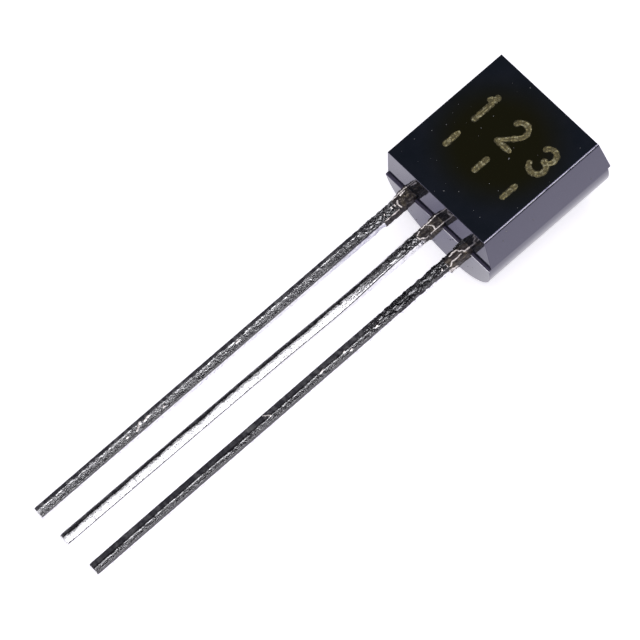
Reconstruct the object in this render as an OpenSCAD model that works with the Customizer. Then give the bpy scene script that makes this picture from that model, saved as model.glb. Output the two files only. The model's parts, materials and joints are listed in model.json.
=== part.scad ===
// TO-92 transistor with three straight leads, lying on its rounded back.
//
// It is drawn straight first: X runs across the leads, Y along them with the
// lead tips towards -Y, and the parting plane of the mould is Z = 0 with the
// flat face on the +Z side. laid_down() then tips it onto the surface, where it
// rests on the lead-side edge of its back and on the tips of its leads.

/* [Moulded body] */
// Width of the flat face
flat_width = 4.35; // [3.9:0.01:4.6]
// Height of the flat face, measured along the leads
flat_height = 4.56; // [4.2:0.01:5]
// Depth from the parting plane to the flat face
front_depth = 1.33; // [1.1:0.01:1.5]
// Depth from the parting plane to the bottom of the rounded back
rear_depth = 2.33; // [2:0.01:2.4]
// Draft of the two side faces, in degrees
side_draft = 6.7; // [4:0.1:10]
// Draft of the end faces of the front half, in degrees
front_end_draft = 4.9; // [2:0.1:8]
// Draft of the end faces of the rear half, in degrees
rear_end_draft = 0.5; // [0.5:0.1:6]
// How far the rear mould half stands out towards the lead tips
mould_shift = 0.1; // [0.01:0.01:0.2]

/* [Leads] */
// Distance between the centre lines of neighbouring leads
lead_pitch = 1.27; // [1.2:0.01:1.35]
// Width of a lead
lead_width = 0.4; // [0.35:0.01:0.48]
// Thickness of the lead frame
lead_thickness = 0.38; // [0.34:0.01:0.45]
// Length of the leads outside the body
lead_length = 14.7; // [12.7:0.05:16]
// Radius of the long edges of the leads
lead_edge_radius = 0.08; // [0.03:0.01:0.12]
// Width of the shoulder that is left where the dam bar was cut off
shoulder_width = 0.5; // [0.48:0.01:0.62]
// Length of the shoulder on the collector lead
collector_shoulder = 1.1; // [0.3:0.05:1.6]
// Length of the shoulder on the base lead
base_shoulder = 0.4; // [0.3:0.05:1.6]
// Length of the shoulder on the emitter lead
emitter_shoulder = 0.75; // [0.3:0.05:1.6]
// Sideways lean of the base lead towards the collector, in degrees
base_lean = 0.35; // [0:0.1:1.5]

/* [Lead frame inside the body] */
// Width of the die pad
pad_width = 1.7; // [1.3:0.05:1.9]
// Height of the die pad
pad_height = 1.5; // [1:0.05:1.6]
// Distance from the lead-side end of the body to the die pad
pad_start = 1.9; // [1.8:0.05:2.2]
// Width of the bonding head on the base lead
base_head_width = 1; // [0.6:0.05:1.1]
// Height of the bonding head on the base lead
base_head_height = 0.7; // [0.4:0.05:0.8]
// Gap between the base head and the die pad
base_head_gap = 0.45; // [0.3:0.05:0.6]
// Width of the bonding head on the emitter lead
emitter_head_width = 0.85; // [0.6:0.05:0.95]
// Height of the bonding head on the emitter lead
emitter_head_height = 0.9; // [0.6:0.05:1.2]

/* [Die and bond wires] */
// Side of the square die
die_side = 0.45; // [0.35:0.01:0.6]
// Thickness of the die
die_thickness = 0.2; // [0.12:0.01:0.28]
// Thickness of the attach layer under the die
attach_thickness = 0.03; // [0.02:0.005:0.05]
// How far the attach layer shows round the die
attach_margin = 0.05; // [0.02:0.01:0.1]
// Diameter of the bond wires
wire_dia = 0.05; // [0.03:0.005:0.06]
// Diameter of the ball at the die end of each bond wire
ball_dia = 0.11; // [0.08:0.01:0.14]
// Height of the ball at the die end of each bond wire
ball_height = 0.04; // [0.03:0.005:0.06]
// Radius of the two bends of each bond wire
wire_bend = 0.2; // [0.12:0.01:0.3]
// Distance from the middle of the die to each bond
bond_offset = 0.12; // [0.08:0.01:0.15]

/* [Hidden] */
$fn = 64;

// Size of the body at the parting plane
parting_width = flat_width + 2 * front_depth * tan(side_draft);
parting_height = flat_height + 2 * front_depth * tan(front_end_draft);
rear_drop = rear_depth * tan(rear_end_draft);
// Circle through both parting edges and the bottom of the back
back_radius = (pow(parting_width / 2, 2) + pow(rear_depth, 2)) / (2 * rear_depth);

// Places inside the body
lead_top = lead_thickness / 2;
pad_left = -lead_pitch - shoulder_width / 2;
pad_middle = [pad_left + pad_width / 2, pad_start + pad_height / 2];
base_head_end = pad_start - base_head_gap;
emitter_head_right = lead_pitch + shoulder_width / 2;
emitter_head_middle = [emitter_head_right - emitter_head_width / 2, pad_middle.y];
base_head_middle = [0, base_head_end - base_head_height / 2];
die_bottom = lead_top + attach_thickness;
die_top = die_bottom + die_thickness;

// How it lies: the edge of the back that touches, the tilt, the lift and the
// shift that brings the middle of its length to the origin
rest_edge_y = rear_drop - mould_shift;
tilt = atan((rear_depth - lead_top) / (lead_length + rest_edge_y));
lift = rear_depth * cos(tilt) - rest_edge_y * sin(tilt);
tip_reach = -lead_length * cos(tilt) - lead_top * sin(tilt);
far_end_y = parting_height - mould_shift - rear_drop;
far_reach = far_end_y * cos(tilt) + rear_depth * sin(tilt);
centre_y = -(tip_reach + far_reach) / 2;

epoxy_colour = [0.05, 0.06, 0.08];
tin_colour = [0.78, 0.78, 0.8];
silicon_colour = [0.35, 0.38, 0.45];
silver_colour = [0.7, 0.7, 0.68];
gold_colour = [0.9, 0.72, 0.3];

module laid_down() {
    translate([0, centre_y, lift])
        rotate([tilt, 0, 0])
            children();
}

// A prism along X from an outline given as [y, z] points
module prism_along_x(outline, length) {
    translate([-length / 2, 0, 0])
        rotate([90, 0, 90])
            linear_extrude(length)
                polygon(outline);
}

// A prism along Y from an outline given as [x, z] points
module prism_along_y(outline, length) {
    translate([0, length, 0])
        rotate([90, 0, 0])
            linear_extrude(length)
                polygon(outline);
}

// Front mould half: four flat faces that taper towards the flat face
module front_half() {
    end_inset = front_depth * tan(front_end_draft);
    intersection() {
        prism_along_y([
            [-parting_width / 2, 0],
            [parting_width / 2, 0],
            [flat_width / 2, front_depth],
            [-flat_width / 2, front_depth]
        ], parting_height);
        prism_along_x([
            [0, 0],
            [parting_height, 0],
            [parting_height - end_inset, front_depth],
            [end_inset, front_depth]
        ], 2 * parting_width);
    }
}

// Rear mould half: a round back between two tapering ends
module rear_half() {
    intersection() {
        translate([0, parting_height, back_radius - rear_depth])
            rotate([90, 0, 0])
                cylinder(r = back_radius, h = parting_height);
        prism_along_x([
            [0, 0],
            [parting_height, 0],
            [parting_height - rear_drop, -rear_depth],
            [rear_drop, -rear_depth]
        ], 2 * parting_width);
    }
}

// A flat piece of the lead frame, from one corner to the other
module plate(from, to) {
    translate([from.x, from.y, -lead_top])
        cube([to.x - from.x, to.y - from.y, lead_thickness]);
}

// Cross-section of a lead with rounded long edges
module lead_section(width) {
    r = lead_edge_radius;
    square([width - 2 * r, lead_thickness], center = true);
    square([width, lead_thickness - 2 * r], center = true);
    for (x = [-1, 1], y = [-1, 1])
        translate([x * (width / 2 - r), y * (lead_top - r)])
            circle(r);
}

// A length of lead that starts at Y = 0 and runs towards the tips
module lead_bar(width, length) {
    rotate([90, 0, 0])
        linear_extrude(length)
            lead_section(width);
}

// The part of a lead outside the body, with its shoulder
module outer_lead(shoulder_length, lean = 0) {
    lead_bar(shoulder_width, shoulder_length);
    rotate([0, 0, -lean])
        lead_bar(lead_width, lead_length);
}

module collector_shape() {
    neck_right = -lead_pitch + shoulder_width / 2;
    translate([-lead_pitch, 0, 0])
        outer_lead(collector_shoulder);
    plate([pad_left, 0], [neck_right, pad_start]);
    plate([pad_left, pad_start], [pad_left + pad_width, pad_start + pad_height]);
}

module base_shape() {
    head_start = base_head_end - base_head_height;
    outer_lead(base_shoulder, base_lean);
    plate([-shoulder_width / 2, 0], [shoulder_width / 2, head_start]);
    plate([-base_head_width / 2, head_start], [base_head_width / 2, base_head_end]);
}

module emitter_shape() {
    head_start = emitter_head_middle.y - emitter_head_height / 2;
    head_left = emitter_head_right - emitter_head_width;
    translate([lead_pitch, 0, 0])
        outer_lead(emitter_shoulder);
    plate([lead_pitch - shoulder_width / 2, 0], [emitter_head_right, head_start]);
    plate([head_left, head_start], [emitter_head_right, head_start + emitter_head_height]);
}

// A square block centred on the die pad, from one height to another
module block_on_pad(side, bottom, thickness) {
    translate([pad_middle.x - side / 2, pad_middle.y - side / 2, bottom])
        cube([side, side, thickness]);
}

module die_shape() {
    block_on_pad(die_side, die_bottom, die_thickness);
}

module attach_shape() {
    block_on_pad(die_side + 2 * attach_margin, lead_top, attach_thickness);
}

// A quarter turn of wire in the XZ plane, starting at the given angle
module wire_turn(start_angle) {
    rotate([90, 0, 0])
        rotate([0, 0, start_angle])
            rotate_extrude(angle = 90)
                translate([wire_bend, 0])
                    circle(d = wire_dia);
}

// A bond wire: ball on the die, rise, level run, and a leg down to the lead
module bond_wire(start, finish) {
    span = norm(finish - start);
    heading = atan2(finish.y - start.y, finish.x - start.x);
    leg = die_top + ball_height - lead_top;
    translate([start.x, start.y, die_top])
        rotate([0, 0, heading]) {
            cylinder(d = ball_dia, h = ball_height);
            translate([wire_bend, 0, ball_height])
                wire_turn(90);
            translate([wire_bend, 0, ball_height + wire_bend])
                rotate([0, 90, 0])
                    cylinder(d = wire_dia, h = span - 2 * wire_bend);
            translate([span - wire_bend, 0, ball_height])
                wire_turn(0);
            translate([span, 0, ball_height - leg])
                cylinder(d = wire_dia, h = leg);
        }
}

module base_wire_shape() {
    bond_wire(pad_middle + [bond_offset, -bond_offset], base_head_middle);
}

module emitter_wire_shape() {
    bond_wire(pad_middle + [bond_offset, bond_offset], emitter_head_middle);
}

// The epoxy is moulded round everything it holds
module body_shape() {
    difference() {
        union() {
            front_half();
            translate([0, -mould_shift, 0])
                rear_half();
        }
        collector_shape();
        base_shape();
        emitter_shape();
        die_shape();
        attach_shape();
        base_wire_shape();
        emitter_wire_shape();
    }
}

module molded_body() {
    color(epoxy_colour)
        laid_down() body_shape();
}

module collector_lead() {
    color(tin_colour)
        laid_down() collector_shape();
}

module base_lead() {
    color(tin_colour)
        laid_down() base_shape();
}

module emitter_lead() {
    color(tin_colour)
        laid_down() emitter_shape();
}

module silicon_die() {
    color(silicon_colour)
        laid_down() die_shape();
}

module die_attach() {
    color(silver_colour)
        laid_down() attach_shape();
}

module base_bond_wire() {
    color(gold_colour)
        laid_down() base_wire_shape();
}

module emitter_bond_wire() {
    color(gold_colour)
        laid_down() emitter_wire_shape();
}

molded_body();
collector_lead();
base_lead();
emitter_lead();
silicon_die();
die_attach();
base_bond_wire();
emitter_bond_wire();
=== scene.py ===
# Looks of a TO-92 transistor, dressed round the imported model.
# Every piece is drawn straight, in millimetres: x across the leads, y along them with the tips
# towards -y, z = 0 at the parting plane of the body. finishPiece() then lays it where the frame lies.
import json
import math

import bmesh
import bpy
import numpy as np
from mathutils import Matrix, Vector


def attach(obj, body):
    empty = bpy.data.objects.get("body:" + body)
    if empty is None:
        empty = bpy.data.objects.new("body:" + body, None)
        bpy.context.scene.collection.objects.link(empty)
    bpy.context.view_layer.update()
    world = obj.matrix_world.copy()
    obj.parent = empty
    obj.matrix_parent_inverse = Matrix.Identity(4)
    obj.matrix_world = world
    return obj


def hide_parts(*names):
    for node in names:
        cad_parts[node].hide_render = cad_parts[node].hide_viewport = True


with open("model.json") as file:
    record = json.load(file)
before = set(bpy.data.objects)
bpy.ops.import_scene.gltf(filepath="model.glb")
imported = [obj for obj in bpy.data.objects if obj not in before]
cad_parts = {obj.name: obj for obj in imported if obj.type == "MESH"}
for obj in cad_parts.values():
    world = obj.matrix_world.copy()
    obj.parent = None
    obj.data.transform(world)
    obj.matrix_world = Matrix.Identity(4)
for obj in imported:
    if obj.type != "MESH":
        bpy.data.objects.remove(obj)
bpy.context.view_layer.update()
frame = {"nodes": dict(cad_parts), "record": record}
scene = bpy.context.scene
print("frame loaded")

# How the part lies, from the mount on its flat face

mm = 0.001
near = 0.01  # a point this close to a plane, in millimetres, lies on it
mounts = {mount["name"]: mount for mount in frame["record"]["mounts"]}
flatCentre = Vector(mounts["marked_flat"]["pos_m"])
flatUp = Vector(mounts["marked_flat"]["axis"]).normalized()
farWay = Vector((0, flatUp.z, -flatUp.y))  # from the lead tips towards the far end of the body
straightAxes = Matrix((Vector((1, 0, 0)), farWay, flatUp)).transposed()


def pointsFromFlat(nodeName):
    points = np.array([vertex.co for vertex in frame["nodes"][nodeName].data.vertices])
    return (points - np.array(flatCentre)) @ np.array(straightAxes) / mm


def measureBody():
    x, y, z = pointsFromFlat("molded_body").T
    halfWidth, halfHeight = abs(x).max(), y.max()
    onParting = abs(x) > halfWidth - near
    onFlat = z > -near
    atBottom = z < z.min() + near
    plan = {"halfWidth": halfWidth, "height": 2 * halfHeight, "frontDepth": -z[onParting].max()}
    plan["rearDepth"] = -z.min() - plan["frontDepth"]
    plan["flatHalfWidth"] = abs(x[onFlat]).max()
    plan["flatHalfHeight"] = abs(y[onFlat]).max()
    plan["shift"] = -y.min() - halfHeight  # how far the rear mould half stands out
    plan["rearDrop"] = y[atBottom].min() - y.min()
    return plan


bodyPlan = measureBody()
origin = flatCentre - farWay * bodyPlan["height"] / 2 * mm - flatUp * bodyPlan["frontDepth"] * mm
laidDown = Matrix.Translation(origin) @ straightAxes.to_4x4() @ Matrix.Scale(mm, 4)


def straightPoints(nodeName):
    shift = np.array([0, bodyPlan["height"] / 2, bodyPlan["frontDepth"]])
    return pointsFromFlat(nodeName) + shift


# Small helpers for names, points, objects and meshes


def camelName(words):
    first, *others = words.replace("_", " ").split()
    return first.lower() + "".join(word.title() for word in others)


def newObject(name, data):
    obj = bpy.data.objects.new(name, data)
    scene.collection.objects.link(obj)
    return obj


def curveObject(name, lines, closed=False):
    curve = bpy.data.curves.new(name, "CURVE")
    curve.dimensions = "3D"
    for line in lines:
        spline = curve.splines.new("POLY")
        spline.points.add(len(line) - 1)
        spline.points.foreach_set("co", [value for x, y in line for value in (x, y, 0.0, 1.0)])
        spline.use_cyclic_u = closed
    return newObject(name, curve)


def arc(centre, radii, fromDegrees, toDegrees, steps):
    points = []
    for step in range(steps + 1):
        angle = math.radians(fromDegrees + (toDegrees - fromDegrees) * step / steps)
        points.append((centre[0] + radii[0] * math.cos(angle), centre[1] + radii[1] * math.sin(angle)))
    return points


def spread(start, end, steps):
    return [tuple(a + (b - a) * step / steps for a, b in zip(start, end)) for step in range(steps + 1)]


def takeMesh(carrier):
    # the modifiers' result as a plain mesh; the carrier goes, and its modifiers with it
    evaluated = carrier.evaluated_get(bpy.context.evaluated_depsgraph_get())
    mesh = bpy.data.meshes.new_from_object(evaluated)
    bpy.data.objects.remove(carrier)
    return mesh


def bakeNodes(carrier, tree, values):
    # each input of the tree takes the value whose key is its name
    modifier = carrier.modifiers.new(tree.name, "NODES")
    modifier.node_group = tree
    for item in tree.interface.items_tree:
        if item.in_out == "INPUT" and item.socket_type != "NodeSocketGeometry":
            modifier[item.identifier] = values[camelName(item.name)]
    return takeMesh(carrier)


def joinMeshes(meshes, outwards=False):
    whole = bmesh.new()
    for mesh in meshes:
        whole.from_mesh(mesh)
        bpy.data.meshes.remove(mesh)
    if outwards:
        bmesh.ops.recalc_face_normals(whole, faces=whole.faces)
    joined = bpy.data.meshes.new("joined")
    whole.to_mesh(joined)
    whole.free()
    return joined


def finishPiece(name, mesh, material):
    mesh.name = name
    mesh.materials.clear()
    mesh.materials.append(material)
    mesh.transform(laidDown)
    mesh.update()
    return newObject(name, mesh)


# Small helpers for node trees. A node given as a value stands for its first output, and maths goes
# into the tree of the sockets it reads.


def giveSocket(socket, value):
    if isinstance(value, bpy.types.Node):
        value = value.outputs[0]
    if isinstance(value, bpy.types.NodeSocket):
        socket.id_data.links.new(value, socket)
    else:
        socket.default_value = value


def treeOf(values):
    return next(value.id_data for value in values if hasattr(value, "id_data"))


def addNode(tree, kind, settings=None, numbered=None, **named):
    # inputs go by number, or by name with _ for a space
    node = tree.nodes.new(kind)
    for key, value in (settings or {}).items():
        setattr(node, key, value)
    for key, value in (numbered or {}).items():
        giveSocket(node.inputs[key], value)
    for key, value in named.items():
        giveSocket(node.inputs[key.replace("_", " ")], value)
    return node


def calculate(operation, *values, clamp=False):
    settings = {"operation": operation, "use_clamp": clamp}
    return addNode(treeOf(values), "ShaderNodeMath", settings, dict(enumerate(values))).outputs[0]


def times(result, *others):
    for value in others:
        result = calculate("MULTIPLY", result, value)
    return result


def plus(result, *others):
    for value in others:
        result = calculate("ADD", result, value)
    return result


def minus(first, second):
    return calculate("SUBTRACT", first, second)


def highest(result, *others):
    for value in others:
        result = calculate("MAXIMUM", result, value)
    return result


def above(value, limit):
    return calculate("GREATER_THAN", value, limit)


def bell(distance, width):
    share = calculate("DIVIDE", distance, width)
    return calculate("EXPONENT", times(share, share, -1.0))


def mapRange(value, fromLow, fromHigh, toLow=0.0, toHigh=1.0, smooth=False):
    settings = {"interpolation_type": "SMOOTHSTEP" if smooth else "LINEAR"}
    values = (value, fromLow, fromHigh, toLow, toHigh)
    return addNode(value.id_data, "ShaderNodeMapRange", settings, dict(enumerate(values))).outputs[0]


def between(share, low, high):
    return mapRange(share, 0.0, 1.0, low, high)


def vectorMath(operation, *values):
    node = addNode(treeOf(values), "ShaderNodeVectorMath", {"operation": operation}, dict(enumerate(values)))
    return node.outputs["Value" if operation in ("DISTANCE", "LENGTH") else "Vector"]


def scaled(vector, amount):
    return addNode(vector.id_data, "ShaderNodeVectorMath", {"operation": "SCALE"}, {0: vector}, Scale=amount)


def mixColours(factor, first, second):
    values = {0: factor, 6: first, 7: second}
    return addNode(factor.id_data, "ShaderNodeMix", {"data_type": "RGBA"}, values).outputs[2]


def noise(place, scale, detail=3.0, roughness=0.6, seed=0.0):
    node = addNode(place.id_data, "ShaderNodeTexNoise", {"noise_dimensions": "4D"}, Vector=place, W=seed,
                   Scale=scale, Detail=detail, Roughness=roughness)
    return node.outputs["Fac"]


def swing(place, scale, detail=3.0, roughness=0.6, seed=0.0, middle=0.5):
    # noise as far as it rises above its middle, or falls below it
    return minus(noise(place, scale, detail, roughness, seed), middle)


def mottle(place, scale, low, high, least=0.0, most=1.0, detail=3.0, seed=0.0):
    # noise as patches, which start at low and are full at high
    return mapRange(noise(place, scale, detail, seed=seed), low, high, least, most)


def randomBetween(low, high, seed):
    node = addNode(seed.id_data, "FunctionNodeRandomValue", {"data_type": "FLOAT"}, {2: low, 3: high},
                   Seed=seed)
    return node.outputs[1]


def startGroup(name, kind, inputs, outputs):
    tree = bpy.data.node_groups.new(name, kind)
    for way, sockets in (("INPUT", inputs), ("OUTPUT", outputs)):
        for label, socket in sockets.items():
            tree.interface.new_socket(label, in_out=way, socket_type="NodeSocket" + socket)
    return tree, tree.nodes.new("NodeGroupInput").outputs, tree.nodes.new("NodeGroupOutput").inputs


def startShapeGroup(name, inputs, numbers):
    inputs = {**inputs, "Material": "Material", **dict.fromkeys(numbers, "Float")}
    return startGroup(name, "GeometryNodeTree", inputs, {"Result": "Geometry"})


def endShapeGroup(tree, shape, given, result):
    real = addNode(tree, "GeometryNodeRealizeInstances", Geometry=shape)
    painted = addNode(tree, "GeometryNodeSetMaterial", Geometry=real, Material=given["Material"])
    giveSocket(result["Result"], painted)
    return tree


def startMaterial(name):
    material = bpy.data.materials.new(name)
    material.use_nodes = True
    tree = material.node_tree
    tree.nodes.clear()
    return material, tree, addNode(tree, "ShaderNodeTexCoord").outputs["Object"]


def stored(tree, name):
    return addNode(tree, "ShaderNodeAttribute", {"attribute_name": name}).outputs["Fac"]


def addSurface(tree, look, height, **values):
    bump = addNode(tree, "ShaderNodeBump", Height=height, Strength=look["bumpStrength"],
                   Distance=look["bumpDepth"] * mm)
    shader = addNode(tree, "ShaderNodeBsdfPrincipled", Normal=bump, **values)
    addNode(tree, "ShaderNodeOutputMaterial", Surface=shader)


# Grain shared by the materials: a height for bumps, broad blotches and fine specks

grain = {
    "coarseDetail": 4.0,
    "coarseRoughness": 0.6,
    "coarseShare": 0.6,
    "fineDetail": 2.0,
    "fineRoughness": 0.5,
    "fineShare": 0.4,
    "specks": (0.62, 0.7),
}


def makeGrainGroup():
    inputs = {"Place": "Vector", **dict.fromkeys(("Coarse", "Fine", "Contrast", "Seed"), "Float")}
    outputs = dict.fromkeys(("Height", "Blotches", "Specks"), "Float")
    tree, given, result = startGroup("surfaceGrain", "ShaderNodeTree", inputs, outputs)
    place, contrast, seed = given["Place"], given["Contrast"], given["Seed"]
    coarse = noise(place, given["Coarse"], grain["coarseDetail"], grain["coarseRoughness"], seed)
    fine = noise(place, given["Fine"], grain["fineDetail"], grain["fineRoughness"], seed)
    height = plus(times(coarse, grain["coarseShare"]), times(fine, grain["fineShare"]))
    giveSocket(result["Height"], height)
    blotches = mapRange(coarse, minus(0.5, contrast), plus(0.5, contrast))
    giveSocket(result["Blotches"], blotches)
    giveSocket(result["Specks"], mapRange(fine, *grain["specks"]))
    return tree


grainGroup = makeGrainGroup()


def useGrain(place, coarse, fine, contrast, seed):
    node = addNode(place.id_data, "ShaderNodeGroup", {"node_tree": grainGroup}, Place=place, Coarse=coarse,
                   Fine=fine, Contrast=contrast, Seed=seed)
    return node.outputs


# Moulded epoxy: nearly black, glossy, warmer where the laser has heated it, with a painted dull violet
# reflection on the ledge and a painted pale highlight on its rim and the flat's right edge

epoxy = {
    "colour": (0.0071, 0.0103, 0.0147, 1),
    "cloudy": (0.0107, 0.0136, 0.0192, 1),
    "heated": (0.0096, 0.0093, 0.0005, 1),
    "heatedAlong": 2.6,
    "heatedReach": (2.7, 2.4, 1.0),
    "heatedFull": 0.55,
    "chalk": (0.97, 0.95, 1.0, 1),
    "chalkFrom": (0.30, 0.50),
    "chalkPatches": {"scale": 2400.0, "low": 0.32, "high": 0.46, "seed": 4.0},
    "ledge": (0.034, 0.029, 0.050, 1),
    "grain": {"coarse": 1400.0, "fine": 16000.0, "contrast": 0.16, "seed": 2.0},
    "bumpStrength": 0.25,
    "bumpDepth": 0.004,
    "ior": 1.85,
    "roughness": (0.06, 0.11),
    "ledgeRoughness": 0.5,
    "tint": (0.70, 0.645, 1.0, 1),
}


def makeEpoxy():
    material, tree, place = startMaterial("moldedEpoxy")
    grained = useGrain(place, **epoxy["grain"])
    ledge, rubbed = (stored(tree, name) for name in ("ledge", "rubbed"))
    centred = addNode(tree, "ShaderNodeMapping", {"vector_type": "TEXTURE"}, Vector=place,
                      Location=laidDown @ Vector((0, epoxy["heatedAlong"], bodyPlan["frontDepth"])),
                      Rotation=straightAxes.to_euler(), Scale=[reach * mm for reach in epoxy["heatedReach"]])
    ball = addNode(tree, "ShaderNodeTexGradient", {"gradient_type": "SPHERICAL"}, Vector=centred)
    heat = mapRange(ball.outputs["Fac"], 0.0, epoxy["heatedFull"], smooth=True)
    # a painted pale highlight on the ledge's rim and the flat's right edge, in patches
    highlighted = times(mapRange(rubbed, *epoxy["chalkFrom"]),
                    mottle(place, **epoxy["chalkPatches"]))
    colour = mixColours(grained["Blotches"], epoxy["colour"], epoxy["cloudy"])
    colour = mixColours(heat, colour, epoxy["heated"])
    # the ledge is painted a dull violet that stands in for its reflection
    colour = mixColours(ledge, colour, epoxy["ledge"])
    colour = mixColours(highlighted, colour, epoxy["chalk"])
    gloss = between(grained["Blotches"], *epoxy["roughness"])
    gloss = between(ledge, gloss, epoxy["ledgeRoughness"])
    addSurface(tree, epoxy, grained["Height"], Base_Color=colour, Roughness=gloss, IOR=epoxy["ior"],
               Specular_Tint=epoxy["tint"])
    return material


# Tin plating: mirror-like but mottled, stained brown where the dam bar was cut near the body, and with
# painted shade down the right wall and along the edges

plating = {
    "bright": (0.93, 0.93, 0.95, 1),
    "dull": (0.52, 0.51, 0.55, 1),
    "tarnish": (0.024, 0.022, 0.027, 1),
    "lip": (0.97, 0.89, 0.88, 1),
    "khaki": (0.24, 0.20, 0.155, 1),
    "stain": (0.045, 0.036, 0.038, 1),
    "grain": {"coarse": 9000.0, "fine": 26000.0, "contrast": 0.14, "seed": 5.0},
    "pits": {"scale": 12000.0, "low": 0.50, "high": 0.60, "seed": 9.0},
    "wear": {"scale": 1800.0, "low": 0.40, "high": 0.60, "least": 0.25, "seed": 12.0},
    "khakiPatches": {"scale": 5200.0, "low": 0.50, "high": 0.72, "detail": 4.0, "seed": 8.0},
    "streaks": {"scale": 8000.0, "low": 0.44, "high": 0.62, "most": 0.42, "seed": 6.0},
    "streakWay": (0.4, 1, 1),
    "dullShare": (0.6, 1.0),
    "wornShare": (0.40, 1.0),
    "pitShare": 0.42,
    "bared": {"fromLow": 0.38, "fromHigh": 0.62, "toHigh": 0.5},
    "lipColour": {"fromLow": 0.10, "fromHigh": 0.55},
    "lipMetal": {"fromLow": 0.3, "fromHigh": 0.8, "toLow": 1.0, "toHigh": 0.15},
    "oxideMetal": 0.4,
    "smoothGloss": (0.08, 0.22),
    "grainyGloss": (0.16, 0.28),
    "stainedGloss": 0.46,
    "bumpStrength": 1.0,
    "bumpDepth": 0.020,
    "smoothShare": 0.16,
    "speckShare": 0.4,
}


def makePlating():
    material, tree, place = startMaterial("tinPlating")
    grained = useGrain(place, **plating["grain"])
    blotches = grained["Blotches"]
    stained, lips, grainy, tarnished = (
        stored(tree, name) for name in ("stained", "lips", "grainy", "tarnished"))
    worn = times(mottle(place, **plating["wear"]), between(grainy, *plating["wornShare"]))
    khaki = mottle(place, **plating["khakiPatches"])

    # tin with dull blotches, pits, tarnish and painted shade, then the brown stain, and the pale lips of the
    # scars, partly a painted highlight
    dulled = times(blotches, between(grainy, *plating["dullShare"]))
    colour = mixColours(dulled, plating["bright"], plating["dull"])
    pits = times(mottle(place, **plating["pits"]), worn, plating["pitShare"])
    colour = mixColours(pits, colour, plating["tarnish"])
    # painted shade and tarnish, bared where the grain stands up
    bared = times(mapRange(grained["Height"], **plating["bared"]), grainy)
    tarnish = calculate("SUBTRACT", tarnished, bared, clamp=True)
    colour = mixColours(tarnish, colour, plating["tarnish"])
    colour = mixColours(stained, colour, mixColours(khaki, plating["stain"], plating["khaki"]))
    colour = mixColours(mapRange(lips, **plating["lipColour"]), colour, plating["lip"])

    smoothGloss = between(blotches, *plating["smoothGloss"])
    grainyGloss = between(blotches, *plating["grainyGloss"])
    matt = times(stained, minus(1.0, lips))
    gloss = between(matt, between(grainy, smoothGloss, grainyGloss), plating["stainedGloss"])

    streaks = mottle(vectorMath("MULTIPLY", place, plating["streakWay"]), **plating["streaks"])
    streaked = minus(1.0, times(streaks, worn))
    oxide = times(stained, minus(1.0, khaki))
    metallic = times(mapRange(lips, **plating["lipMetal"]), streaked,
                     between(oxide, 1.0, plating["oxideMetal"]))

    relief = times(grained["Height"], between(grainy, plating["smoothShare"], 1.0))
    specks = times(grained["Specks"], grainy)
    relief = calculate("MULTIPLY_ADD", specks, plating["speckShare"], relief)
    addSurface(tree, plating, relief, Base_Color=colour, Roughness=gloss, Metallic=metallic)
    return material


# Burnt epoxy, from the yellowed edge of a stroke to the bright grains on it

burnt = {
    "tones": {
        0.0: (0.022, 0.018, 0.003, 1),
        0.1: (0.045, 0.038, 0.012, 1),
        0.4: (0.115, 0.094, 0.036, 1),
        0.7: (0.20, 0.165, 0.065, 1),
        1.0: (0.46, 0.40, 0.19, 1),
    },
    "pit": (0.022, 0.018, 0.003, 1),
    "spark": (0.60, 0.56, 0.36, 1),
    "grain": {"coarse": 9000.0, "fine": 30000.0, "contrast": 0.15, "seed": 11.0},
    "pits": {"scale": 13000.0, "low": 0.46, "high": 0.56, "most": 0.9, "detail": 2.0, "seed": 15.0},
    "sparks": {"scale": 10000.0, "low": 0.53, "high": 0.62, "detail": 2.0, "seed": 16.0},
    "roughness": 0.6,
    "bumpStrength": 0.5,
    "bumpDepth": 0.004,
}


def makeBurnt():
    material, tree, place = startMaterial("laserMark")
    burn = stored(tree, "burn")
    ramp = addNode(tree, "ShaderNodeValToRGB", Fac=burn)
    stops = ramp.color_ramp.elements
    stops.remove(stops[1])
    for index, (share, tone) in enumerate(burnt["tones"].items()):
        stop = stops.new(share) if index else stops[0]
        stop.position, stop.color = share, tone
    colour = ramp
    for pattern, tone in (("pits", "pit"), ("sparks", "spark")):
        shown = times(mottle(place, **burnt[pattern]), burn)
        colour = mixColours(shown, colour, burnt[tone])
    height = useGrain(place, **burnt["grain"])["Height"]
    addSurface(tree, burnt, height, Base_Color=colour, Roughness=burnt["roughness"])
    return material


# Plain finishes in two tones, for the dust and for the pieces sealed in the body

plain = {"fineness": 4, "contrast": 0.2, "bumpStrength": 0.3, "bumpDepth": 0.002}


def makePlain(name, light, dark, metallic, roughness, coarse, seed):
    material, tree, place = startMaterial(name)
    grained = useGrain(place, coarse, coarse * plain["fineness"], plain["contrast"], seed)
    colour = mixColours(grained["Blotches"], light, dark)
    gloss = between(grained["Blotches"], *roughness)
    addSurface(tree, plain, grained["Height"], Base_Color=colour, Roughness=gloss, Metallic=metallic)
    return material


# Body: front half with four tapered sides, rear half with a round back, shifted along the leads

body = {
    "backSteps": 72,
    "bevelSteps": 4,
    "sharpFrom": math.radians(25),
    "flatRound": 0.03,
    "wornRound": 0.072,
    "endRound": 0.014,
    "ledgeRound": 0.05,
    "edgeReach": 0.06,
    "edgeWear": 0.40,
    "rimBelow": 0.7,
    "wornFacing": (0.80, 0.95),
}


def backArc():
    # the round back as (x, z), from the left end of the parting line to its right end
    halfWidth, depth = bodyPlan["halfWidth"], bodyPlan["rearDepth"]
    radius = (halfWidth ** 2 + depth ** 2) / (2 * depth)
    centre = radius - depth
    halfSweep = math.pi - math.atan2(halfWidth, -centre)
    points = []
    for step in range(body["backSteps"] + 1):
        turn = halfSweep * (2 * step / body["backSteps"] - 1)
        points.append((radius * math.sin(turn), centre - radius * math.cos(turn)))
    points[0], points[-1] = (-halfWidth, 0), (halfWidth, 0)
    return points


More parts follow.
